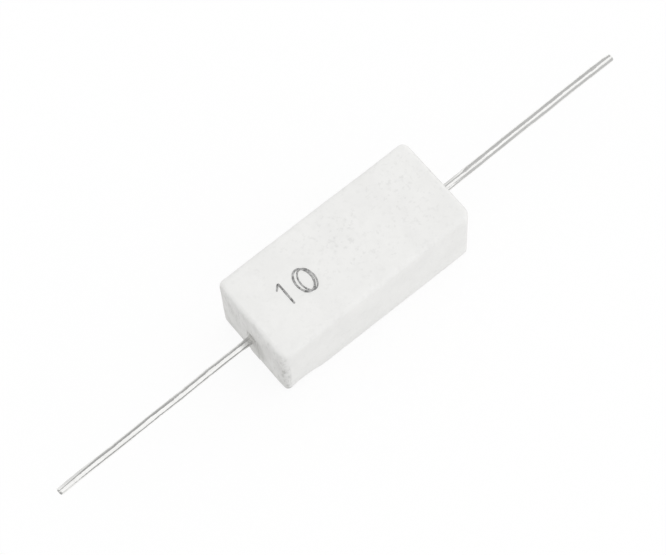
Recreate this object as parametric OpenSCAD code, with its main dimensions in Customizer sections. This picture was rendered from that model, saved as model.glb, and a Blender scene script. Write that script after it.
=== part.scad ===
// Cement-filled wirewound power resistor with axial leads.
// A wound ceramic rod lies in a pressed ceramic trough, and cement fills the trough level with its rim.
// X runs along the leads and Z is up. The filled side faces down, and the origin is the middle of that side.

/* [Case] */
// Length of the ceramic case
case_l = 22; // [20:0.5:26]
// Width of the case
case_w = 9.7; // [9:0.1:12]
// Height of the case
case_h = 9; // [8.6:0.1:12]
// Thickness of the two long walls
side_wall = 1.4; // [1:0.1:1.6]
// Thickness of the two end walls
end_wall = 1.6; // [1.2:0.1:2]
// Thickness of the roof that carries the print
roof = 1.4; // [1:0.1:1.6]
// Radius of the upright corners
corner_r = 0.7; // [0.5:0.05:1.2]
// Radius of the edges round the roof
edge_r = 0.5; // [0.3:0.05:0.8]
// Radius of the edges round the rim
rim_r = 0.35; // [0.2:0.05:0.6]
// Radius inside the trough, upright and overhead
trough_r = 0.8; // [0.5:0.1:1]
// Width of the notch in each end wall
notch_w = 1.4; // [1.3:0.1:2.2]

/* [Cement] */
// How far the cement lies back in each notch
notch_recess = 0.05; // [0.05:0.05:0.4]

/* [Wound rod] */
// Diameter of the ceramic rod
rod_d = 3.8; // [3.4:0.1:4]
// Length of the ceramic rod
rod_l = 14; // [13:0.5:14.5]
// Bevel on the rod's ends
rod_bevel = 0.3; // [0.25:0.05:0.4]
// Cement between the winding on a cap and the trough's ceiling
roof_cover = 0.47; // [0.4:0.01:1]
// Diameter of the resistance wire
wire_d = 0.25; // [0.2:0.01:0.3]
// Distance between turns
pitch = 0.75; // [0.65:0.05:1]
// Length of wire track on each cap
cap_track = 0.9; // [0.6:0.1:1.1]
// Running gap between the wire and what it is wound on
wire_gap = 0.03; // [0.02:0.01:0.05]
// Gap between the wire's outside and the cement
cement_gap = 0.05; // [0.03:0.01:0.1]

/* [End caps] */
// Sheet thickness of a cap
cap_t = 0.3; // [0.2:0.05:0.4]
// Length of a cap's skirt over the rod
cap_skirt = 2.4; // [2.2:0.1:3]
// Outer radius at a cap's closed end
cap_bend_r = 0.5; // [0.45:0.05:0.6]

/* [Leads] */
// Diameter of a lead
lead_d = 0.8; // [0.7:0.05:0.9]
// Length of a lead outside the case
lead_out = 22; // [10:1:38]
// Radius on the cut end of a lead
lead_tip_r = 0.16; // [0.05:0.01:0.17]
// How far the welded head of a lead stands out round the wire
head_flare = 0.25; // [0.1:0.05:0.4]
// How far inside the case's end face the taper behind the head has come down to the plain wire
taper_inset = 0.05; // [0:0.05:0.2]

/* [Smoothness] */
// Segments in a turn of wire
turn_steps = 24; // [18:2:30]
// Sides on the wire
wire_sides = 8; // [6:1:10]

/* [Hidden] */
$fn = 64;
// Overshoot of a cutter past the face that it cuts
eps = 0.5;

trough_l = case_l - 2 * end_wall;
trough_w = case_w - 2 * side_wall;
trough_h = case_h - roof;
rod_r = rod_d / 2;
cap_r = rod_r + cap_t;
cap_face = rod_l / 2 + cap_t;
cap_lip = rod_l / 2 - cap_skirt;
wire_r = wire_d / 2;
lead_r = lead_d / 2;
taper_end = case_l / 2 - taper_inset;
lead_end = case_l / 2 + lead_out;

rod_track_r = rod_r + wire_gap + wire_r;
cap_track_r = cap_r + wire_gap + wire_r;
// Height of the rod and the leads above the rim
axis_h = trough_h - roof_cover - cap_track_r - wire_r;
// Where the wire starts its climb from the rod, and where it has reached the cap's skirt
climb_end = cap_lip - wire_d;
climb_start = climb_end - pitch / 2;
wire_end = cap_lip + cap_track;
// The stretch of the cement's hollow that is wide enough for the wire on a cap
relief_start = climb_start - wire_d;
relief_end = wire_end + wire_d;
turns = 2 * wire_end / pitch;
wire_steps = ceil(turns * turn_steps);

module on_axis() {
    translate([0, 0, axis_h]) rotate([0, 90, 0]) children();
}

module at_end(side) {
    if (side > 0) on_axis() children();
    else mirror([1, 0, 0]) on_axis() children();
}

// Half of an upright section, from its middle out: the outer corners are rounded at the rim and the roof
module edge_profile(reach) {
    intersection() {
        square([reach, case_h]);
        union() {
            translate([0, rim_r]) square([reach, case_h - rim_r - edge_r]);
            translate([0, case_h / 2]) square([reach - edge_r, case_h / 2]);
            square([reach - rim_r, case_h / 2]);
            translate([reach - rim_r, rim_r]) circle(rim_r);
            translate([reach - edge_r, case_h - edge_r]) circle(edge_r);
        }
    }
}

module whole_profile(reach) {
    edge_profile(reach);
    mirror([1, 0]) edge_profile(reach);
}

module case_block() {
    straight_x = case_l - 2 * corner_r;
    straight_y = case_w - 2 * corner_r;
    union() {
        rotate([90, 0, 90])
            linear_extrude(straight_x, center = true) whole_profile(case_w / 2);
        rotate([90, 0, 0])
            linear_extrude(straight_y, center = true) whole_profile(case_l / 2);
        for (x = [-1, 1], y = [-1, 1])
            translate([x * straight_x / 2, y * straight_y / 2, 0])
                rotate_extrude() edge_profile(corner_r);
    }
}

// The trough's space: rounded in plan and along its ceiling
module trough(depth_below = 0) {
    intersection() {
        translate([0, 0, -depth_below]) linear_extrude(trough_h + depth_below) union() {
            square([trough_l - 2 * trough_r, trough_w], center = true);
            square([trough_l, trough_w - 2 * trough_r], center = true);
            for (x = [-1, 1], y = [-1, 1])
                translate([x * (trough_l / 2 - trough_r), y * (trough_w / 2 - trough_r)])
                    circle(trough_r);
        }
        rotate([90, 0, 90]) linear_extrude(case_l, center = true) union() {
            translate([-trough_w / 2, -depth_below])
                square([trough_w, trough_h - trough_r + depth_below]);
            translate([-trough_w / 2 + trough_r, -depth_below])
                square([trough_w - 2 * trough_r, trough_h + depth_below]);
            for (y = [-1, 1])
                translate([y * (trough_w / 2 - trough_r), trough_h - trough_r]) circle(trough_r);
        }
    }
}

// A round-ended notch from the rim up to the lead, as long as asked, through both end walls
module notch_run(length, depth_below = 0) {
    rotate([90, 0, 90]) linear_extrude(length, center = true) union() {
        translate([0, axis_h]) circle(notch_w / 2);
        translate([-notch_w / 2, -depth_below]) square([notch_w, axis_h + depth_below]);
    }
}

module case() {
    color("whitesmoke") difference() {
        case_block();
        trough(eps);
        notch_run(case_l + 2 * eps, eps);
    }
}

// The space that the wound rod takes inside the cement
module element_space() {
    on_axis() {
        cylinder(r = rod_track_r + wire_r + cement_gap, h = 2 * cap_lip, center = true);
        for (turn = [0, 180]) rotate([turn, 0, 0]) {
            translate([0, 0, relief_start])
                cylinder(r = cap_track_r + wire_r + cement_gap, h = relief_end - relief_start);
            cap_outside();
            lead_outside();
        }
    }
}

module cement_fill() {
    color("gainsboro") difference() {
        union() {
            trough();
            notch_run(case_l - 2 * notch_recess);
        }
        element_space();
    }
}

module core_rod() {
    color("white") on_axis() rotate_extrude() polygon([
        [0, -rod_l / 2],
        [rod_r - rod_bevel, -rod_l / 2],
        [rod_r, -rod_l / 2 + rod_bevel],
        [rod_r, rod_l / 2 - rod_bevel],
        [rod_r - rod_bevel, rod_l / 2],
        [0, rod_l / 2]
    ]);
}

// Outside of a cap: a drawn cup with a rounded closed end
module cap_outside() {
    rotate_extrude() union() {
        translate([0, cap_lip]) square([cap_r, cap_face - cap_bend_r - cap_lip]);
        translate([0, cap_lip]) square([cap_r - cap_bend_r, cap_face - cap_lip]);
        intersection() {
            translate([cap_r - cap_bend_r, cap_face - cap_bend_r]) circle(cap_bend_r);
            translate([0, cap_lip]) square([cap_r, cap_face - cap_lip]);
        }
    }
}

module end_cap(side) {
    color("silver") at_end(side) difference() {
        cap_outside();
        cylinder(r = rod_r, h = rod_l / 2 - (cap_bend_r - cap_t));
        cylinder(r = rod_r - (cap_bend_r - cap_t), h = rod_l / 2);
        translate([0, 0, rod_l / 2 - (cap_bend_r - cap_t)]) rotate_extrude() intersection() {
            translate([rod_r - (cap_bend_r - cap_t), 0]) circle(cap_bend_r - cap_t);
            square([rod_r, cap_bend_r]);
        }
    }
}

module left_end_cap() { end_cap(-1); }
module right_end_cap() { end_cap(1); }

// A lead from its welded head, through the taper, to the rounded cut end
module lead_outside() {
    length = lead_end - cap_face;
    taper_l = taper_end - cap_face;
    translate([0, 0, cap_face]) rotate_extrude() union() {
        polygon([[0, 0], [lead_r + head_flare, 0], [lead_r, taper_l], [0, taper_l]]);
        square([lead_r, length - lead_tip_r]);
        square([lead_r - lead_tip_r, length]);
        translate([lead_r - lead_tip_r, length - lead_tip_r]) circle(lead_tip_r);
    }
}

module left_lead() { color("lightgray") at_end(-1) lead_outside(); }
module right_lead() { color("lightgray") at_end(1) lead_outside(); }

// Radius of the wire's track at a distance along the rod, with a smooth climb on to each cap
function climb(u) = u <= 0 ? 0 : u >= 1 ? 1 : u * u * (3 - 2 * u);
function track_r(x) = rod_track_r + (cap_track_r - rod_track_r)
    * climb((abs(x) - climb_start) / (climb_end - climb_start));
function track_point(x) = let (a = 360 * x / pitch, r = track_r(x))
    [x, r * cos(a), axis_h + r * sin(a)];
function unit(v) = v / norm(v);

// One ring of the swept wire, square to its track
function wire_ring(x) =
    let (step = 0.01, p = track_point(x),
         along = unit(track_point(x + step) - track_point(x - step)),
         out = unit([0, p[1], p[2] - axis_h]),
         across = unit(cross(along, out)),
         up = cross(across, along))
    [for (k = [0:wire_sides - 1]) let (b = 360 * (k + 0.5) / wire_sides)
        p + wire_r * (cos(b) * up + sin(b) * across)];

module resistance_wire() {
    rings = [for (i = [0:wire_steps]) wire_ring(-wire_end + 2 * wire_end * i / wire_steps)];
    points = [for (ring = rings) for (p = ring) p];
    last = wire_steps * wire_sides;
    side_faces = [for (i = [0:wire_steps - 1]) for (k = [0:wire_sides - 1])
        let (a = i * wire_sides + k, b = i * wire_sides + (k + 1) % wire_sides)
        [a, a + wire_sides, b + wire_sides, b]];
    near_face = [for (k = [0:wire_sides - 1]) k];
    far_face = [for (k = [wire_sides - 1:-1:0]) last + k];
    color("goldenrod") polyhedron(points, concat(side_faces, [near_face, far_face]));
}

case();
cement_fill();
core_rod();
resistance_wire();
left_end_cap();
right_end_cap();
left_lead();
right_lead();
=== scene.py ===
import math
import random
from typing import NamedTuple

import bmesh
import bpy
import numpy as np
from mathutils import Matrix, Vector, noise


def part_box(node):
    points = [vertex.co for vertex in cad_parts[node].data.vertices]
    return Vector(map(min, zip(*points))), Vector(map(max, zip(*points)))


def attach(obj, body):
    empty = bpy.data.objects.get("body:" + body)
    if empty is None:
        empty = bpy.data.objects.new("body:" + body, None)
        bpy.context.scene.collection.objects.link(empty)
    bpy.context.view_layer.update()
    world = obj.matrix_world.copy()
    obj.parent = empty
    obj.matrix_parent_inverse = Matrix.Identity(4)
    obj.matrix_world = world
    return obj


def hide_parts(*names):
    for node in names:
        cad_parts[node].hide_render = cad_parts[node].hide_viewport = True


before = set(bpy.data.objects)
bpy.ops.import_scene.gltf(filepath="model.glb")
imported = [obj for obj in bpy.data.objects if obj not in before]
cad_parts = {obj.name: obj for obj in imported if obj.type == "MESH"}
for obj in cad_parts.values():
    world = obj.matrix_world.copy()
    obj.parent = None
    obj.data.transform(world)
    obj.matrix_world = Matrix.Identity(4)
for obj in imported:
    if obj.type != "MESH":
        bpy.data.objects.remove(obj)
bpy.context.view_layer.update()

MM = 0.001

# Driving sizes, in millimetres, read from the frame

_, case_high = (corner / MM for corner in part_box("case"))
_, cement_high = (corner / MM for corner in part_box("cement_fill"))
lead_low, lead_high = (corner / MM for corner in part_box("right_lead"))
half_l = case_high.x
half_w = case_high.y
case_h = case_high.z
axis_h = (lead_low.z + lead_high.z) / 2
lead_head = lead_low.x
lead_head_r = (lead_high.z - lead_low.z) / 2
lead_end = lead_high.x

# Sizes of the leads that their box doesn't show, and the fineness of the meshes, in millimetres

LEAD_R = 0.4
LEAD_TIP_R = 0.16
TAPER_INSET = 0.05
LEAD_SIDES = 40
LEAD_RING_STEP = 0.25
LEAD_TIP_RINGS = 5
CASE_VOXEL = 0.125
CEMENT_VOXEL = 0.12
WELD = 0.001

# Camera, where the photograph was taken from

PHOTO_W = 666
SENSOR = 36.0
FOCAL_PX = 2000.0
CAMERA_PLACE_MM = (-39.71, -53.71, 175.66)
CAMERA_RIGHT = (0.7735, -0.6332, -0.0261)
CAMERA_FORWARD = (0.2079, 0.2925, -0.9334)


def add_camera():
    data = bpy.data.cameras.new("camera")
    data.sensor_width = SENSOR
    data.lens = FOCAL_PX * SENSOR / PHOTO_W
    data.clip_start = 0.01
    data.clip_end = 10
    camera = bpy.data.objects.new("camera", data)
    bpy.context.scene.collection.objects.link(camera)
    back = -Vector(CAMERA_FORWARD).normalized()
    up = back.cross(Vector(CAMERA_RIGHT)).normalized()
    right = up.cross(back)
    turn = Matrix((right, up, back)).transposed()
    camera.matrix_world = Matrix.Translation(Vector(CAMERA_PLACE_MM) * MM) @ turn.to_4x4()
    bpy.context.scene.camera = camera


# Shader maths: arithmetic on sockets, and one method for every other node

# Share of its reach over which a spot keeps its full strength
SPOT_CORE = 0.2


class Signal:
    """An output socket that takes part in sums."""

    def __init__(self, finish, socket):
        self.finish = finish
        self.socket = socket

    def math(self, operation, *values):
        return self.finish.node("ShaderNodeMath", {"operation": operation}, [self, *values])

    def __add__(self, other):
        return self.math("ADD", other)

    __radd__ = __add__

    def __sub__(self, other):
        return self.math("SUBTRACT", other)

    def __rsub__(self, other):
        return self.finish.node("ShaderNodeMath", {"operation": "SUBTRACT"}, [other, self])

    def __mul__(self, other):
        return self.math("MULTIPLY", other)

    __rmul__ = __mul__

    def band(self, low, high):
        """0 below low, 1 above high and smooth between them, or falling where low is above high."""
        ends = (high, low, 1.0, 0.0) if low > high else (low, high, 0.0, 1.0)
        values = dict(zip(("From Min", "From Max", "To Min", "To Max"), ends))
        smooth = {"interpolation_type": "SMOOTHSTEP"}
        return self.finish.node("ShaderNodeMapRange", smooth, {"Value": self, **values})


class Finish:
    """The nodes of a material or of the world, added by call. Patterns are laid out in millimetres."""

    def __init__(self, owner):
        owner.use_nodes = True
        self.owner = owner
        self.tree = owner.node_tree
        self.tree.nodes.clear()
        metres = self.node("ShaderNodeTexCoord", output="Object")
        to_mm = {"Vector": metres, "Scale": (1 / MM, 1 / MM, 1 / MM)}
        self.place = self.node("ShaderNodeMapping", None, to_mm)

    def node(self, kind, settings=None, inputs=None, output=0):
        """Adds a node with its settings and with its inputs' values or links, and gives one output."""
        added = self.tree.nodes.new(kind)
        for name, value in (settings or {}).items():
            setattr(added, name, value)
        pairs = inputs.items() if isinstance(inputs, dict) else enumerate(inputs or [])
        for name, value in pairs:
            if isinstance(value, Signal):
                self.tree.links.new(value.socket, added.inputs[name])
            else:
                added.inputs[name].default_value = value
        return Signal(self, added.outputs[output]) if added.outputs else None

    def axis(self, letter):
        return self.node("ShaderNodeSeparateXYZ", None, [self.place], letter)

    def stretched(self, x, y, z):
        """The place with each direction scaled, so that a pattern is drawn out along the smallest."""
        return self.node("ShaderNodeMapping", None, {"Vector": self.place, "Scale": (x, y, z)})

    def noise(self, size, detail=3.0, roughness=0.55, place=None):
        """Cloudy noise whose patches are about size across."""
        inputs = {"Vector": place or self.place, "Scale": 1 / size}
        inputs |= {"Detail": detail, "Roughness": roughness}
        return self.node("ShaderNodeTexNoise", None, inputs)

    def cells(self, size):
        """Distance to the nearest of many scattered points that lie about size apart."""
        inputs = {"Vector": self.place, "Scale": 1 / size}
        return self.node("ShaderNodeTexVoronoi", None, inputs, "Distance")

    def spot(self, centre, reach):
        """1 around a centre, falling to 0 at the reach along each axis."""
        away = self.node("ShaderNodeVectorMath", {"operation": "SUBTRACT"}, [self.place, centre])
        share = self.node("ShaderNodeVectorMath", {"operation": "DIVIDE"}, [away, reach])
        length = self.node("ShaderNodeVectorMath", {"operation": "LENGTH"}, [share], "Value")
        return length.band(1.0, SPOT_CORE)

    def attribute(self, name):
        return self.node("ShaderNodeAttribute", {"attribute_name": name}, None, "Fac")

    def mix(self, factor, first, second):
        values = {0: factor, 6: colour_value(first), 7: colour_value(second)}
        return self.node("ShaderNodeMix", {"data_type": "RGBA"}, values, 2)

    def stain(self, tone, mask, share, level, warmth):
        """A tone under a grey, which covers up to a share of it where the mask is 1."""
        return self.mix(mask * share, tone, grey(level, warmth))

    def bump(self, height, depth, strength=1.0):
        inputs = {"Strength": strength, "Distance": depth * MM, "Height": height}
        return self.node("ShaderNodeBump", None, inputs)

    def surface(self, **sockets):
        values = {name.replace("_", " "): value for name, value in sockets.items()}
        shader = self.node("ShaderNodeBsdfPrincipled", None, values)
        self.node("ShaderNodeOutputMaterial", None, [shader])
        return self.owner


def new_finish(name):
    return Finish(bpy.data.materials.new(name))


def colour_value(colour):
    return colour if isinstance(colour, Signal) else (*colour, 1.0)


def grey(level, warmth=0.0):
    """A linear grey from an 8-bit display level, a little warmer where warmth is above 0."""
    linear = ((level / 255 + 0.055) / 1.055) ** 2.4
    return (linear, linear * (1 - warmth / 8), linear * (1 - warmth))


# Finishes: sizes, places and reaches are in millimetres, and the levels of greys are 8-bit ones

# How much dirt and painted shadow the left and the right end have around the leads, and how much flux they
# have
DIRT_AND_SHADOW_SHARES = {-1: 0.6, 1: 0.4}
FLUX_SHARES = {-1: 0.55, 1: 0.1}
# The part of the roof that has the most specks: its middle and its reach
SPECKLED_MIDDLE = (3.5, 0.8, case_h)
SPECKLED_REACH = (11.0, 6.5, 4.0)
# Small dark spots by the left lead's cut end, placed from the middle of that end
TIP_DARK_SPOTS = ((-0.02, -0.56, 0.25), (-0.1, -0.25, 0.35))
# How far the cement crept out of the wall along the left lead, from where it thins to its end
CREEP_FROM = 0.2
CREEP_TO = 0.32


def end_dirt_and_lead_shadow(finish, tone):
    """The ends are dirtier than the rest. Around each lead the wall also gets a painted shadow under the
    lead, a patchy darker area mostly below and in front of it, and a small dark spot just above it.
    """
    ragged = finish.noise(0.9, 4.0, 0.65) * 0.5 - 0.25
    ends = (finish.axis("X").math("ABSOLUTE") + ragged).band(half_l - 0.3, half_l - 0.05)
    tone = finish.stain(tone, ends, share=0.28, level=203, warmth=0.03)
    upright = finish.stretched(1, 1, 0.25)
    mottle = finish.noise(1.0, 3.0, 0.6, upright).band(0.38, 0.68) * ends
    tone = finish.stain(tone, mottle, share=0.32, level=198, warmth=0.035)
    grains = finish.noise(0.3, 2.0, 0.55, upright).band(0.55, 0.72) * ends
    tone = finish.stain(tone, grains, share=0.3, level=184, warmth=0.04)

    patchy = finish.noise(0.5, 3.0, 0.6).band(0.25, 0.6) * 0.5 + 0.5
    for side, share in DIRT_AND_SHADOW_SHARES.items():
        end = side * half_l
        # The wall is darker in a patchy area around the lead, most of all below it and in front of it
        front_patch = finish.spot(centre=(end, -0.8, 3.4), reach=(1.2, 1.6, 3.4)) * patchy
        tone = finish.stain(tone, front_patch, share, level=184, warmth=0.05)
        # Painted shadow: the wall right under the lead is darkened as if the lead shaded it
        below = finish.spot(centre=(end, 0.15, axis_h - 1.2), reach=(1.2, 0.6, 1.3))
        tone = finish.stain(tone, below, share * 0.35, level=128, warmth=0.06)
        # A small darker spot on the wall just above the lead
        above = finish.spot(centre=(end, 0.1, axis_h + LEAD_R + 0.05), reach=(1.2, 0.3, 0.3))
        tone = finish.stain(tone, above, share, level=128, warmth=0.06)
    return tone


def case_ceramic():
    finish = new_finish("case_ceramic")
    broad = finish.noise(4.0, 2.0)
    tone = finish.mix(broad.band(0.35, 0.65), grey(235, 0.018), grey(238, 0.018))

    # Faint grey specks in the fired body, close together in some places and far apart in others
    busy = finish.noise(2.6, 2.0).band(0.3, 0.6)
    thick = finish.spot(SPECKLED_MIDDLE, SPECKLED_REACH) * 0.6 + 0.4
    upright = finish.stretched(1, 1, 0.35)
    specks = finish.noise(0.37, 1.5, 0.5, upright).band(0.54, 0.78) * busy * thick
    tone = finish.stain(tone, specks, share=0.6, level=218, warmth=0.02)
    clouds = finish.noise(0.8, 3.0, 0.6, upright).band(0.45, 0.7)
    tone = finish.stain(tone, clouds, share=0.25, level=229, warmth=0.018)
    # Dirt on the ends, and a painted shadow under each lead
    tone = end_dirt_and_lead_shadow(finish, tone)

    # The front left edge is rubbed and chipped
    belt = finish.spot(centre=(-half_l, -half_w, case_h / 2), reach=(0.85, 1.2, 7.0))
    tone = finish.stain(tone, belt, share=0.3, level=203, warmth=0.03)
    chipped = finish.noise(0.32, 2.0, 0.6, finish.stretched(1, 1, 0.3)).band(0.48, 0.64) * belt
    tone = finish.stain(tone, chipped, share=0.6, level=165, warmth=0.05)

    # Grime in the pits and in the chipped edges
    tone = finish.stain(tone, finish.attribute("grime"), share=0.8, level=160, warmth=0.04)

    grain = finish.noise(0.1, 4.0, 0.7) + finish.noise(0.5, 3.0) * 2.0
    relief = finish.bump(grain, depth=0.008, strength=0.6)
    rough = broad.band(0.2, 0.8) * 0.1 + 0.8
    return finish.surface(Base_Color=tone, Roughness=rough, Normal=relief)


def cement_finish():
    """Sandy cement, as dirty as the case where it shows in the ends, with the same painted shadow under
    the leads.
    """
    finish = new_finish("cement")
    broad = finish.noise(1.5, 4.0)
    tone = finish.mix(broad.band(0.3, 0.7), grey(220, 0.025), grey(233, 0.02))
    sand = finish.cells(0.35).band(0.3, 0.12)
    tone = finish.stain(tone, sand, share=0.35, level=196, warmth=0.03)
    tone = end_dirt_and_lead_shadow(finish, tone)
    relief = finish.bump(finish.noise(0.2, 4.0, 0.7) + sand, depth=0.03, strength=0.6)
    return finish.surface(Base_Color=tone, Roughness=0.92, Normal=relief)


def tinned_wire():
    """Tin, drawn along the wire and a little cloudy, with flux at the roots, marks from tools, and dark
    spots by the left lead's cut end.
    """
    finish = new_finish("tinned_wire")
    drawn = finish.noise(0.2, 3.0, 0.6, finish.stretched(0.05, 1, 1))
    cloudy = finish.noise(1.1, 3.0, 0.6)
    tone = finish.mix(drawn.band(0.3, 0.7), grey(240, 0.02), grey(251, 0.015))
    tone = finish.stain(tone, cloudy.band(0.55, 0.75), share=0.5, level=222, warmth=0.03)
    for side, share in FLUX_SHARES.items():
        root = (side * (half_l + 0.3), -0.1, axis_h - 0.1)
        flux = finish.spot(root, reach=(1.5, 1.5, 1.5))
        tone = finish.stain(tone, flux, share, level=115, warmth=0.05)

    # The pinched end of the left lead, and the flat that pliers gripped at the right lead's root
    pinched = finish.spot(centre=(1.5 - lead_end, 0.0, axis_h + 0.3), reach=(3.2, 0.34, 0.4))
    tone = finish.stain(tone, pinched, share=0.8, level=208, warmth=0.02)
    gripped = finish.spot(centre=(half_l + 1.5, 0.38, axis_h + 0.2), reach=(2.4, 0.3, 0.35))
    tone = finish.stain(tone, gripped, share=0.9, level=205, warmth=0.03)
    # Small dark spots by the left lead's cut end
    for x, y, z in TIP_DARK_SPOTS:
        tip_spot = finish.spot(centre=(x - lead_end, y, axis_h + z), reach=(0.22, 0.25, 0.3))
        tone = finish.stain(tone, tip_spot, share=0.8, level=110, warmth=0.03)

    # Cement that crept onto the left lead's root
    on_left = finish.axis("X").band(0.1, -0.1)
    ragged = finish.axis("X") + (cloudy - 0.5) * 0.4
    crept = ragged.band(-half_l - CREEP_TO, -half_l - CREEP_FROM) * on_left
    tone = finish.mix(crept, tone, grey(205, 0.04))
    rough = cloudy.band(0.3, 0.7) * 0.1 + 0.14 + crept * 0.6
    relief = finish.bump(drawn * 0.4 + cloudy * 2.5, depth=0.05, strength=0.5)
    return finish.surface(Base_Color=tone, Metallic=1 - crept, Roughness=rough, Normal=relief)


def printed_ink():
    """Grey ink, thin in places, that hardly took on the grains that stand out."""
    finish = new_finish("printed_ink")
    blots = finish.noise(0.5, 3.0, 0.6)
    tone = finish.mix(blots.band(0.35, 0.65), grey(102, 0.01), grey(176, 0.01))
    missed = finish.noise(0.18, 3.0, 0.65).band(0.48, 0.66)
    tone = finish.stain(tone, missed, share=0.65, level=212, warmth=0.015)
    return finish.surface(Base_Color=tone, Roughness=0.75, Normal=finish.bump(blots, depth=0.01))


def rod_ceramic():
    finish = new_finish("rod_ceramic")
    broad = finish.noise(1.2, 3.0)
    tone = finish.mix(broad.band(0.3, 0.7), grey(226, 0.03), grey(238, 0.02))
    turned = finish.noise(0.15, 2.0, 0.5, finish.stretched(3, 0.3, 0.3))
    return finish.surface(Base_Color=tone, Roughness=0.7, Normal=finish.bump(turned, depth=0.01))


def resistance_alloy():
    finish = new_finish("resistance_alloy")
    drawn = finish.noise(0.4, 3.0)
    tone = finish.mix(drawn.band(0.3, 0.7), (0.30, 0.24, 0.18), (0.50, 0.44, 0.37))
    relief = finish.bump(finish.noise(0.06, 2.0), depth=0.004)
    return finish.surface(Base_Color=tone, Metallic=1.0, Roughness=0.38, Normal=relief)


def cap_metal():
    finish = new_finish("cap_metal")
    drawn = finish.noise(0.2, 3.0, 0.6, finish.stretched(0.15, 1, 1))
    dull = finish.noise(0.9, 3.0).band(0.45, 0.7)
    tone = finish.mix(dull, grey(210, 0.01), grey(178, 0.02))
    rough = dull * 0.2 + 0.25
    relief = finish.bump(drawn, depth=0.008)
    return finish.surface(Base_Color=tone, Metallic=1.0, Roughness=rough, Normal=relief)


# Pieces


def set_material(piece, material):
    piece.data.materials.clear()
    piece.data.materials.append(material)


def add_piece(name, bm, material):
    """Turns a bmesh in metres into a piece that rides with the resistor."""
    mesh = bpy.data.meshes.new(name)
    bm.to_mesh(mesh)
    bm.free()
    mesh.shade_smooth()
    piece = bpy.data.objects.new(name, mesh)
    bpy.context.scene.collection.objects.link(piece)
    set_material(piece, material)
    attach(piece, "root")
    return piece


def order_faces(bm):
    """Sorts the faces by place, because extrusion leaves them in an order that changes from run to run."""
    placed = sorted(bm.faces, key=lambda face: face.calc_center_median()[:])
    for index, face in enumerate(placed):
        face.index = index
    bm.faces.sort()


def fine_copy(node, name, voxel, material):
    """A copy of a solid, netted in even quads that are small enough for pits and chips."""
    bm = bmesh.new()
    bm.from_mesh(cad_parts[node].data)
    bmesh.ops.remove_doubles(bm, verts=bm.verts, dist=WELD * MM)
    piece = add_piece(name, bm, material)
    remesh = piece.modifiers.new("net", "REMESH")
    remesh.mode = "VOXEL"
    remesh.voxel_size = voxel * MM
    remesh.use_smooth_shade = True
    bpy.context.view_layer.objects.active = piece
    bpy.ops.object.modifier_apply(modifier=remesh.name)
    set_material(piece, material)
    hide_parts(node)
    return piece


def read_points(mesh):
    """Places in millimetres and outward directions of a mesh's vertices."""
    places = np.empty(len(mesh.vertices) * 3, np.float32)
    normals = np.empty(len(mesh.vertices) * 3, np.float32)
    mesh.vertices.foreach_get("co", places)
    mesh.vertex_normals.foreach_get("vector", normals)
    return places.reshape(-1, 3) / MM, normals.reshape(-1, 3)


def write_points(mesh, places):
    """Moves a mesh's vertices, with none below the face that the part stands on."""
    places[:, 2] = np.maximum(places[:, 2], 0)
    mesh.vertices.foreach_set("co", (places * MM).astype(np.float32).ravel())
    mesh.update()


# Unevenness of fired ceramic and of poured cement: how wide its lumps are, and how deep
CASE_WAVE = (5.0, 0.05)
CASE_RIPPLE = (0.8, 0.012)
CEMENT_LUMP = (1.3, 0.12)
CEMENT_GRAIN = (0.35, 0.06)
NOTCH_GRAIN = (0.5, 0.04)


def unevenness(place, lump):
    """How far an uneven surface lies below its true one at a place, from 0 to the lumps' depth."""
    width, depth = lump
    return depth * (0.5 + 0.5 * noise.noise(Vector(place) / width))


def uneven_depths(places, lump):
    return np.array([unevenness(place, lump) for place in places])


# The pits and chips of the case, in millimetres

DENT_SEED = 7
# The power that makes grime reach further towards a dent's rim than its depth does
GRIME_POWER = 0.7
# The part of the roof that has the most pits: middle and spread along x, and along y
PITTED_X = (2.5, 4.5)
PITTED_Y = (0.8, 2.6)
# How far in from the case's edges their chips lie, and how far under the roof the front ones stop
ROOF_CHIP_INSET = 0.12
FRONT_CHIP_INSET = 0.2
FRONT_CHIP_DROP = 0.3
# Share of the roof's chips that lie on its long edges
LONG_EDGE_SHARE = 0.7


class Dents:
    """Round pits and chips, each with a centre, a radius, a depth and how much grime it holds."""

    def __init__(self, seed):
        self.random = random.Random(seed)
        self.dents = []

    def between(self, low, high):
        return self.random.uniform(low, high)

    def either_side(self):
        return self.random.choice((-1, 1))

    def add(self, centre, radius, depth, grime):
        self.dents.append((centre, radius, depth, grime))

    def scatter(self, count, place, radii, depths, grimes):
        for _ in range(count):
            self.add(place(), self.between(*radii), self.between(*depths), self.between(*grimes))

    def sink(self, places):
        """The depth and the grime that the dents give each place."""
        depths = np.zeros(len(places), np.float32)
        grimes = np.zeros(len(places), np.float32)
        for centre, radius, depth, grime in self.dents:
            offsets = places - np.array(centre, np.float32)
            near = np.flatnonzero(np.abs(offsets).max(axis=1) < radius)
            share = 1 - (offsets[near] ** 2).sum(axis=1) / radius ** 2
            share = np.clip(share, 0, 1)
            depths[near] = np.maximum(depths[near], depth * share)
            grimes[near] = np.maximum(grimes[near], grime * share ** GRIME_POWER)
        return depths, grimes


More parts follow.
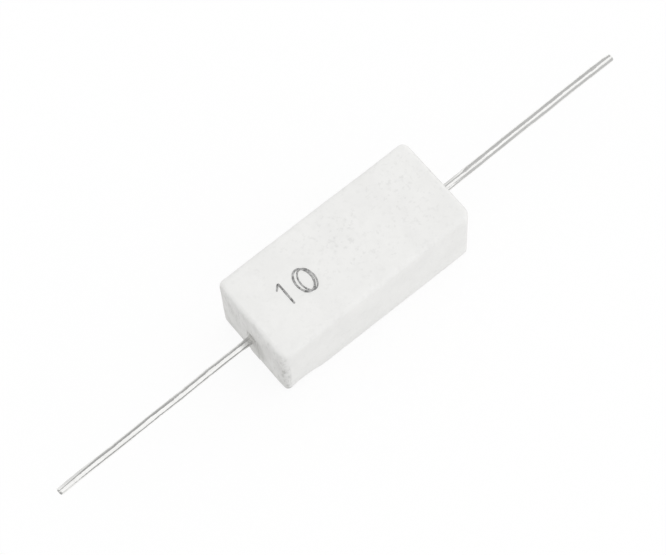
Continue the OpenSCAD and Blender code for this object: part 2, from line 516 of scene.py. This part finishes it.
def case_dents():
    dents = Dents(DENT_SEED)

    def anywhere(half):
        return dents.between(-half, half)

    def spread(middle, width, half):
        return min(max(dents.random.gauss(middle, width), -half), half)

    def on_roof():
        return (anywhere(half_l), anywhere(half_w), case_h)

    def on_pitted_roof():
        return (spread(*PITTED_X, half_l), spread(*PITTED_Y, half_w), case_h)

    def on_side(side):
        return lambda: (anywhere(half_l), side * half_w, dents.between(0, case_h))

    def on_end(side):
        return lambda: (side * half_l, anywhere(half_w), dents.between(0, case_h))

    def on_roof_edge():
        z = case_h - ROOF_CHIP_INSET
        if dents.random.random() < LONG_EDGE_SHARE:
            return (anywhere(half_l), dents.either_side() * (half_w - ROOF_CHIP_INSET), z)
        return (dents.either_side() * (half_l - ROOF_CHIP_INSET), anywhere(half_w), z)

    def on_front_left_edge():
        z = dents.between(0, case_h - FRONT_CHIP_DROP)
        return (FRONT_CHIP_INSET - half_l, FRONT_CHIP_INSET - half_w, z)

    dents.scatter(50, on_roof, radii=(0.12, 0.24), depths=(0.008, 0.02), grimes=(0.0, 0.08))
    dents.scatter(70, on_pitted_roof, radii=(0.12, 0.22), depths=(0.01, 0.03), grimes=(0.0, 0.1))
    for side in (-1, 1):
        dents.scatter(50, on_side(side), radii=(0.12, 0.25), depths=(0.008, 0.025), grimes=(0.0, 0.1))
        dents.scatter(30, on_end(side), radii=(0.15, 0.35), depths=(0.005, 0.02), grimes=(0.0, 0.12))
    dents.scatter(70, on_roof_edge, radii=(0.15, 0.4), depths=(0.015, 0.06), grimes=(0.0, 0.06))
    dents.scatter(22, on_front_left_edge, radii=(0.15, 0.35), depths=(0.015, 0.06), grimes=(0.05, 0.35))

    # The front left corner is worn away at the bottom, with two dark chips
    dents.add((1.9 - half_l, -half_w, 0.0), radius=2.3, depth=0.18, grime=0.0)
    dents.add((0.25 - half_l, 0.15 - half_w, 0.5), radius=0.4, depth=0.07, grime=0.45)
    dents.add((0.8 - half_l, 0.05 - half_w, 0.1), radius=0.3, depth=0.06, grime=0.4)
    return dents


# The case's upright edges: sharper at the open side than in the solid, and rounder towards the roof,
# most of all in front. Seen from above, an edge is reshaped in a square whose side is the reach, but not
# right at the square's inner sides.
EDGE_REACH = 1.4
EDGE_START = 0.01
EDGE_R = 0.7
EDGE_R_LOW = 0.55
EDGE_R_FRONT = 1.0
EDGE_R_BACK = 0.75


def edge_arc(radius, across):
    """Distance from the inner corner of the edge's square to the arc, along a direction."""
    inner = (EDGE_REACH - radius) * across
    return inner + np.sqrt(np.maximum(inner ** 2 - 2 * (EDGE_REACH - radius) ** 2 + radius ** 2, 0))


def rub_upright_edges(places, outside):
    """Gives the four upright edges a radius that grows from the open side to the roof."""
    offsets = np.abs(places[:, :2]) - (half_l - EDGE_REACH, half_w - EDGE_REACH)
    near = np.flatnonzero(outside & (offsets.min(axis=1) > EDGE_START))
    offsets = offsets[near]
    lengths = np.hypot(offsets[:, 0], offsets[:, 1])
    across = offsets.sum(axis=1) / lengths
    long_side = offsets.max(axis=1) / lengths
    short_side = offsets.min(axis=1) / lengths
    up = np.clip(places[near, 2] / case_h, 0, 1)
    high = np.where(places[near, 1] < 0, EDGE_R_FRONT, EDGE_R_BACK)
    rubbed = EDGE_R_LOW + (high - EDGE_R_LOW) * up

    def edge(radius):
        flat = EDGE_REACH / long_side
        return np.where(flat * short_side <= EDGE_REACH - radius, flat, edge_arc(radius, across))

    scale = edge(rubbed) / edge(np.full_like(rubbed, EDGE_R))
    places[near, :2] += np.sign(places[near, :2]) * offsets * (scale - 1)[:, None]


# How deep the outer faces of the case and of the cement are reworked, and how far the cement in the
# notches swells out to the wall's face
CASE_SKIN = 0.7
CEMENT_SKIN = 0.3
NOTCH_SWELL = 0.06


def add_case():
    """The case, with the waves, pits, chips and rubbed edges of fired ceramic."""
    piece = fine_copy("case", "case_body", CASE_VOXEL, case_ceramic())
    places, normals = read_points(piece.data)
    outside = (
        (np.abs(places[:, 0]) > half_l - CASE_SKIN)
        | (np.abs(places[:, 1]) > half_w - CASE_SKIN)
        | (places[:, 2] > case_h - CASE_SKIN)
    )
    depths, grimes = case_dents().sink(places)
    sunk = uneven_depths(places, CASE_WAVE) + uneven_depths(places, CASE_RIPPLE) + depths
    places -= normals * (sunk * outside)[:, None]
    rub_upright_edges(places, outside)
    write_points(piece.data, places)
    grime = piece.data.attributes.new("grime", "FLOAT", "POINT")
    grime.data.foreach_set("value", (grimes * outside).astype(np.float32))


def add_cement():
    """Cement, rough where it was struck off below, that fills the notches to the wall's face."""
    piece = fine_copy("cement_fill", "cement_body", CEMENT_VOXEL, cement_finish())
    places, normals = read_points(piece.data)
    in_notch = np.abs(places[:, 0]) > cement_high.x - CEMENT_SKIN
    underside = (places[:, 2] < CEMENT_SKIN) & ~in_notch
    lumps = uneven_depths(places, CEMENT_LUMP) + uneven_depths(places, CEMENT_GRAIN)
    swell = NOTCH_SWELL - uneven_depths(places, NOTCH_GRAIN)
    moved = swell * in_notch - lumps * underside
    write_points(piece.data, places + normals * moved[:, None])


def lead_stations():
    """Distances along a lead from its head to its cut end, each with the radius there."""
    taper_end = half_l - TAPER_INSET
    plain = lead_end - LEAD_TIP_R
    stations = [(lead_head, lead_head_r), (taper_end, LEAD_R)]
    steps = math.ceil((plain - taper_end) / LEAD_RING_STEP)
    stations += [(taper_end + (plain - taper_end) * i / steps, LEAD_R) for i in range(1, steps + 1)]
    for i in range(1, LEAD_TIP_RINGS + 1):
        turn = math.radians(90 * i / LEAD_TIP_RINGS)
        inset = LEAD_TIP_R * (1 - math.cos(turn))
        stations.append((plain + LEAD_TIP_R * math.sin(turn), LEAD_R - inset))
    return stations


def wire_blank():
    """A round wire along +X, ring by ring, closed at both ends."""
    bm = bmesh.new()
    stations = lead_stations()
    first_x, first_r = stations[0]
    lay = Matrix.Translation((first_x, 0, axis_h)) @ Matrix.Rotation(math.pi / 2, 4, "Y")
    made = bmesh.ops.create_circle(bm, cap_ends=True, segments=LEAD_SIDES, radius=first_r, matrix=lay)
    ring = list(dict.fromkeys(edge for vert in made["verts"] for edge in vert.link_edges))
    for (x, radius), (next_x, next_r) in zip(stations, stations[1:]):
        grown = bmesh.ops.extrude_edge_only(bm, edges=ring)["geom"]
        verts = [item for item in grown if isinstance(item, bmesh.types.BMVert)]
        members = set(verts)
        ring = [e for e in bm.edges if e.verts[0] in members and e.verts[1] in members]
        bmesh.ops.translate(bm, verts=verts, vec=(next_x - x, 0, 0))
        centre = Matrix.Translation((-next_x, 0, -axis_h))
        bmesh.ops.scale(bm, verts=verts, vec=(1, next_r / radius, next_r / radius), space=centre)
    bmesh.ops.edgeloop_fill(bm, edges=ring)
    order_faces(bm)
    return bm


class Wear(NamedTuple):
    """What tools and tinning left on one lead, as it would lie along +X. Angles are from the top."""

    # Small nicks: x, angle, radius and depth
    nicks: tuple
    # Flats that pliers pressed: x where one starts, x where it has its full depth, angle and depth
    flats: tuple
    # How far the cut end leans back at the axis
    cut_slant: float
    # How much further out the tin lies on the side of +Y
    tin_run: float


LEFT_WEAR = Wear(
    nicks=((15.8, 20, 0.5, 0.05), (19.0, -60, 0.4, 0.03), (22.9, 25, 0.6, 0.06), (27.0, -40, 0.5, 0.03)),
    flats=((lead_end - 4.5, lead_end, -42, 0.115),),
    cut_slant=-0.07,
    tin_run=0.0,
)
RIGHT_WEAR = Wear(
    nicks=((14.6, 25, 0.35, 0.06), (18.5, 35, 0.5, 0.03), (24.4, -20, 0.6, 0.04), (30.6, 15, 0.4, 0.04)),
    flats=((half_l + 3.5, half_l + 3.1, 50, 0.05), (lead_end - 0.5, lead_end, 60, 0.05)),
    cut_slant=0.02,
    tin_run=0.08,
)

# How far a lead's tip leans aside, how far a lead wanders off its line, and from which share of its
# length on it does so fully
LEAD_LEAN = 0.3
LEAD_WANDER = 0.05
WANDER_FROM = 0.25
# Courses of the wander through the noise: length of a bend, distance from the middle, and height
WANDER_Y = (6, 3.1, 0)
WANDER_Z = (7, 5.3, 4)
# How far back from the tip the slant of the cut reaches
CUT_REACH = 1.2


def clamped(share):
    return min(max(share, 0.0), 1.0)


def outward(angle):
    """The direction out of a lead at an angle from the top."""
    return Vector((0, math.sin(math.radians(angle)), math.cos(math.radians(angle))))


def nicked(place, x, angle, radius, depth):
    """A place pushed in where it lies in a nick."""
    out = outward(angle)
    away = (place - Vector((x, 0, axis_h)) - out * LEAD_R).length / radius
    return place - out * depth * (1 - away * away) ** 2 if away < 1 else place


def pressed(place, start, full, angle, depth):
    """A place kept below a flat that deepens from where it starts."""
    share = clamped((place.x - start) / (full - start))
    if share == 0:
        return place
    out = outward(angle)
    over = (place - Vector((0, 0, axis_h))).dot(out) - (LEAD_R - depth * share)
    return place - out * max(over, 0.0)


def wandered(x, side, course):
    length, aside, height = course
    return LEAD_WANDER * noise.noise(Vector((x / length, side * aside, height)))


def add_lead(side, name, node, wear, material):
    """A lead, shaped along +X and then turned to its side."""
    bm = wire_blank()
    for vert in bm.verts:
        place = vert.co.copy()
        along = max(place.x - half_l, 0.0) / (lead_end - half_l)
        for nick in wear.nicks:
            place = nicked(place, *nick)
        place.y += wear.tin_run * max(place.y / LEAD_R, 0.0)
        for flat in wear.flats:
            place = pressed(place, *flat)
        to_cut = clamped((place.x - lead_end + CUT_REACH) / CUT_REACH)
        place.x -= wear.cut_slant * to_cut * (1 + (place.z - axis_h) / LEAD_R)
        free = min(along / WANDER_FROM, 1)
        place.y += LEAD_LEAN * along + wandered(place.x, side, WANDER_Y) * free
        place.z += wandered(place.x, side, WANDER_Z) * free
        vert.co = place
    if side < 0:
        bmesh.ops.rotate(bm, verts=bm.verts, cent=(0, 0, 0), matrix=Matrix.Rotation(math.pi, 3, "Z"))
    bmesh.ops.scale(bm, verts=bm.verts, vec=(MM, MM, MM))
    bmesh.ops.recalc_face_normals(bm, faces=bm.faces)
    piece = add_piece(name, bm, material)
    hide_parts(node)


# The stamped mark: a plain number in soft strokes, struck twice, in millimetres

GLYPH_H = 2.45
ONE_X = -6.75
ONE_FLAG = 0.55
NOUGHT_X = -4.75
NOUGHT_HALF_W = 0.8
# The nought's second strike: how far it is shifted, and how much smaller it is
STRIKE_SHIFT = (0.3, -0.14)
STRIKE_SMALLER = (0.08, 0.05)
# The ink: width of a full stroke, height over the roof, step from strike to strike, and thickness
INK_STROKE = 0.2
INK_LIFT = 0.012
INK_LAYER = 0.003
INK_THICKNESS = 0.02
# Length of a step along a stroke, and the share of the path that its direction is taken over
INK_STEP = 0.07
INK_NUDGE = 0.002
# How much blots widen and narrow a stroke, how many there are to a millimetre, and how far apart the
# noise of two layers lies
INK_BLOT = 0.22
INK_BLOTS = 3.0
INK_LAYER_GAP = 90
# Keeps the round ends of a stroke from closing to a point
INK_END = 0.02


def straight(start, end):
    start = Vector(start)
    end = Vector(end)
    return lambda share: start.lerp(end, share), (end - start).length


def oval(centre, radius_x, radius_y):
    centre = Vector(centre)
    around = 2 * math.pi * math.sqrt((radius_x ** 2 + radius_y ** 2) / 2)

    def path(share):
        turn = 2 * math.pi * share
        return centre + Vector((radius_x * math.sin(turn), radius_y * math.cos(turn)))

    return path, around


def ink_stroke(bm, stroke, width, lift, closed):
    """A band of ink along a path, which follows the roof's waves."""
    path, length = stroke
    steps = max(math.ceil(length / INK_STEP), 2)
    made = bmesh.ops.create_grid(bm, x_segments=steps, y_segments=2, size=1)
    for vert in made["verts"]:
        share = (vert.co.x + 1) / 2
        here = path(share)
        along = path(share + INK_NUDGE) - path(share - INK_NUDGE)
        across = Vector((-along.y, along.x)).normalized() * vert.co.y
        blot = noise.noise(Vector((here.x, here.y, lift * INK_LAYER_GAP)) * INK_BLOTS)
        half = width / 2 * (1 + INK_BLOT * blot)
        if not closed:
            to_end = min(share, 1 - share) * length / (width / 2)
            half *= math.sqrt(max(1 - (1 - min(to_end, 1)) ** 2, INK_END))
        flat = here + across * half
        surface = case_h - unevenness((flat.x, flat.y, case_h), CASE_WAVE)
        vert.co = (flat.x, flat.y, surface + lift)


def add_mark():
    bm = bmesh.new()
    top = GLYPH_H / 2
    shift_x, shift_y = STRIKE_SHIFT
    less_x, less_y = STRIKE_SMALLER
    one = straight((ONE_X, top), (ONE_X, -top))
    flag = straight((ONE_X - ONE_FLAG, top - ONE_FLAG), (ONE_X, top))
    nought = oval((NOUGHT_X, 0.0), NOUGHT_HALF_W, top)
    again = oval((NOUGHT_X + shift_x, shift_y), NOUGHT_HALF_W - less_x, top - less_y)

    # Each strike's path, its share of a full stroke's width, its layer, and whether it closes on itself
    strikes = (
        (one, 1.0, 0, False),
        (flag, 0.9, 1, False),
        (nought, 1.0, 0, True),
        (again, 0.75, 2, True),
    )
    for stroke, share, layer, closed in strikes:
        ink_stroke(bm, stroke, INK_STROKE * share, INK_LIFT + INK_LAYER * layer, closed)
    bmesh.ops.remove_doubles(bm, verts=bm.verts, dist=WELD)
    base = bmesh.ops.extrude_face_region(bm, geom=bm.faces[:])["geom"]
    lower = [item for item in base if isinstance(item, bmesh.types.BMVert)]
    bmesh.ops.translate(bm, verts=lower, vec=(0, 0, -INK_THICKNESS))
    order_faces(bm)
    bmesh.ops.scale(bm, verts=bm.verts, vec=(MM, MM, MM))
    bmesh.ops.recalc_face_normals(bm, faces=bm.faces)
    add_piece("printed_mark", bm, printed_ink())


# Studio

# The floor's side, in metres, and the tone of its paper
FLOOR_SIZE = 3
FLOOR_PAPER = 0.92
# White of this strength covers this share of the paper where the camera or polished metal sees the floor
FLOOR_GLOW = 1.01
FLOOR_WHITE = 0.85
# The sky's level, and the lean of its light towards one side
SKY_LEVEL = 0.921
SKY_LEAN = (0.26, -0.09, 0.15)


def seen_directly(finish):
    """1 for rays from the camera and for rays off metal or through glass, and 0 for the rest."""
    kinds = ("Is Camera Ray", "Is Glossy Ray", "Is Transmission Ray")
    camera, glossy, through = (finish.node("ShaderNodeLightPath", output=kind) for kind in kinds)
    return (camera + glossy + through).math("MINIMUM", 1.0)


def add_floor():
    bpy.ops.mesh.primitive_plane_add(size=FLOOR_SIZE, location=(0, 0, 0))
    floor = bpy.context.active_object
    floor.name = "floor"
    finish = new_finish("floor")
    tone = (FLOOR_PAPER, FLOOR_PAPER, FLOOR_PAPER, 1)
    paper = finish.node("ShaderNodeBsdfDiffuse", None, {"Color": tone})
    white = finish.node("ShaderNodeEmission", None, {"Color": (1, 1, 1, 1), "Strength": FLOOR_GLOW})
    covered = seen_directly(finish) * FLOOR_WHITE
    mixed = finish.node("ShaderNodeMixShader", None, [covered, paper, white])
    finish.node("ShaderNodeOutputMaterial", None, [mixed])
    set_material(floor, finish.owner)


def add_sky():
    """A soft sky, brighter towards one side, that looks plain white where it is seen."""
    world = bpy.data.worlds.new("studio")
    bpy.context.scene.world = world
    finish = Finish(world)
    direction = finish.node("ShaderNodeTexCoord", output="Generated")
    dot = {"operation": "DOT_PRODUCT"}
    lean = finish.node("ShaderNodeVectorMath", dot, [direction, SKY_LEAN], "Value")
    seen = seen_directly(finish)
    strength = seen + (1 - seen) * (lean + 1) * SKY_LEVEL
    sky = finish.node("ShaderNodeBackground", None, {"Color": (1, 1, 1, 1), "Strength": strength})
    finish.node("ShaderNodeOutputWorld", None, [sky])


# Dark cards that only polished metal sees, in millimetres: x from and to, y and z of the lower edge,
# y and z of the upper edge, and the card's grey level
CARDS = {
    "left_front_card": ((-30.3, 10), (-9.5, 0.1), (-9.5, 6.8), 164),
    "left_front_veil": ((-36, -30.3), (-9.5, 0.1), (-9.5, 6.8), 226),
    "right_front_near_card": ((11.5, 15.5), (-7.5, 0.1), (-7.5, 5.5), 196),
    "right_front_card": ((15.5, 90), (-7.5, 0.1), (-7.5, 13.6), 196),
    "left_back_card": ((-60, 24), (124, 96), (19, 100), 164),
    "left_back_veil": ((-60, 24), (160, 6), (124, 96), 198),
    "right_back_card": ((25, 160), (160, 10), (32, 100), 190),
}


def add_cards():
    for name, ((x_from, x_to), lower, upper, level) in CARDS.items():
        bm = bmesh.new()
        corners = [(x_from, *lower), (x_to, *lower), (x_to, *upper), (x_from, *upper)]
        bm.faces.new([bm.verts.new(Vector(corner) * MM) for corner in corners])
        mesh = bpy.data.meshes.new(name)
        bm.to_mesh(mesh)
        bm.free()
        card = bpy.data.objects.new(name, mesh)
        bpy.context.scene.collection.objects.link(card)
        finish = new_finish(name)
        shade = finish.node("ShaderNodeEmission", None, {"Color": (*grey(level), 1), "Strength": 1.0})
        finish.node("ShaderNodeOutputMaterial", None, [shade])
        set_material(card, finish.owner)
        for ray in ("camera", "diffuse", "transmission", "volume_scatter", "shadow"):
            setattr(card, f"visible_{ray}", False)


add_camera()
add_floor()
add_sky()
add_cards()
add_case()
add_cement()
tin = tinned_wire()
add_lead(-1, "left_lead_wire", "left_lead", LEFT_WEAR, tin)
add_lead(1, "right_lead_wire", "right_lead", RIGHT_WEAR, tin)
add_mark()
set_material(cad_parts["core_rod"], rod_ceramic())
set_material(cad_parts["resistance_wire"], resistance_alloy())
caps = cap_metal()
for node in ("left_end_cap", "right_end_cap"):
    set_material(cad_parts[node], caps)

bpy.context.scene.view_settings.view_transform = "Standard"
